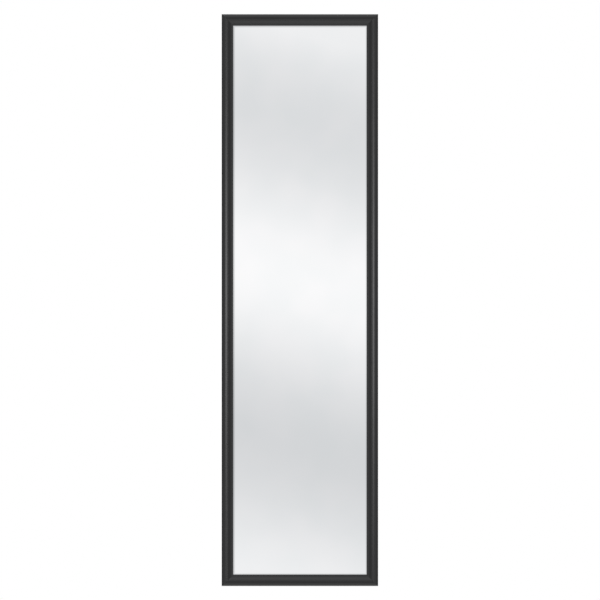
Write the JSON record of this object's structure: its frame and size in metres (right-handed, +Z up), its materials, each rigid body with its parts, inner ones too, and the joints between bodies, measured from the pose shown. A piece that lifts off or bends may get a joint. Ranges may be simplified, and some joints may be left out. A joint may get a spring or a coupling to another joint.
{
  "type": "over-the-door mirror",
  "caption": "Tall narrow mirror in a mitred black moulding, hung over a door by slotted, height-adjustable steel hooks with foam liners; swinging D-rings let it hang on a wall instead.",
  "frame": {"origin": "upper front edge of the door that the hooks sit on, midway between the two hooks", "axes": "+X to the right of someone facing the mirror, +Y into the door, +Z up; the glass faces -Y"},
  "size_m": [0.3444, 0.0665, 1.2588],
  "materials": {
    "black_moulding": "satin",
    "silvered_glass": "polished",
    "kraft_board": "matte",
    "bare_steel": "satin",
    "zinc_steel": "satin",
    "grey_foam": "matte",
    "grey_rubber": "satin"
  },
  "bodies": {
    "mirror_frame": {"top_rail": "black_moulding", "bottom_rail": "black_moulding", "left_stile": "black_moulding", "right_stile": "black_moulding", "mirror_glass": "silvered_glass", "backing_board": "kraft_board", "v_nail_top_left_outer": "bare_steel", "v_nail_top_left_inner": "bare_steel", "v_nail_top_right_outer": "bare_steel", "v_nail_top_right_inner": "bare_steel", "v_nail_bottom_left_outer": "bare_steel", "v_nail_bottom_left_inner": "bare_steel", "v_nail_bottom_right_outer": "bare_steel", "v_nail_bottom_right_inner": "bare_steel", "backing_point_top_1": "bare_steel", "backing_point_top_2": "bare_steel", "backing_point_bottom_1": "bare_steel", "backing_point_bottom_2": "bare_steel", "backing_point_left_1": "bare_steel", "backing_point_left_2": "bare_steel", "backing_point_left_3": "bare_steel", "backing_point_left_4": "bare_steel", "backing_point_left_5": "bare_steel", "backing_point_right_1": "bare_steel", "backing_point_right_2": "bare_steel", "backing_point_right_3": "bare_steel", "backing_point_right_4": "bare_steel", "backing_point_right_5": "bare_steel", "left_hanger_screw_upper": "zinc_steel", "left_hanger_screw_lower": "zinc_steel", "right_hanger_screw_upper": "zinc_steel", "right_hanger_screw_lower": "zinc_steel", "left_hanger_washer_upper": "zinc_steel", "left_hanger_washer_lower": "zinc_steel", "right_hanger_washer_upper": "zinc_steel", "right_hanger_washer_lower": "zinc_steel", "left_ring_strap": "zinc_steel", "right_ring_strap": "zinc_steel", "left_ring_screw": "zinc_steel", "right_ring_screw": "zinc_steel", "left_bumper": "grey_rubber", "right_bumper": "grey_rubber"},
    "left_hook": {"left_hanger": "zinc_steel", "left_hook_liner": "grey_foam"},
    "right_hook": {"right_hanger": "zinc_steel", "right_hook_liner": "grey_foam"},
    "left_ring": {"left_d_ring": "zinc_steel"},
    "right_ring": {"right_d_ring": "zinc_steel"}
  },
  "joints": [
    {"name": "left_hook_height", "type": "slide", "parent": "mirror_frame", "child": "left_hook", "axis": [0, 0, 1], "range_m": [0, 0.075]},
    {"name": "right_hook_height", "type": "slide", "parent": "mirror_frame", "child": "right_hook", "axis": [0, 0, 1], "range_m": [0, 0.075]},
    {"name": "left_ring_swing", "type": "hinge", "parent": "mirror_frame", "child": "left_ring", "pos_m": [-0.1625, -0.00275, -0.2943], "axis": [1, 0, 0], "range_deg": [-3, 183]},
    {"name": "right_ring_swing", "type": "hinge", "parent": "mirror_frame", "child": "right_ring", "pos_m": [0.1625, -0.00275, -0.2943], "axis": [1, 0, 0], "range_deg": [-3, 183]}
  ]
}
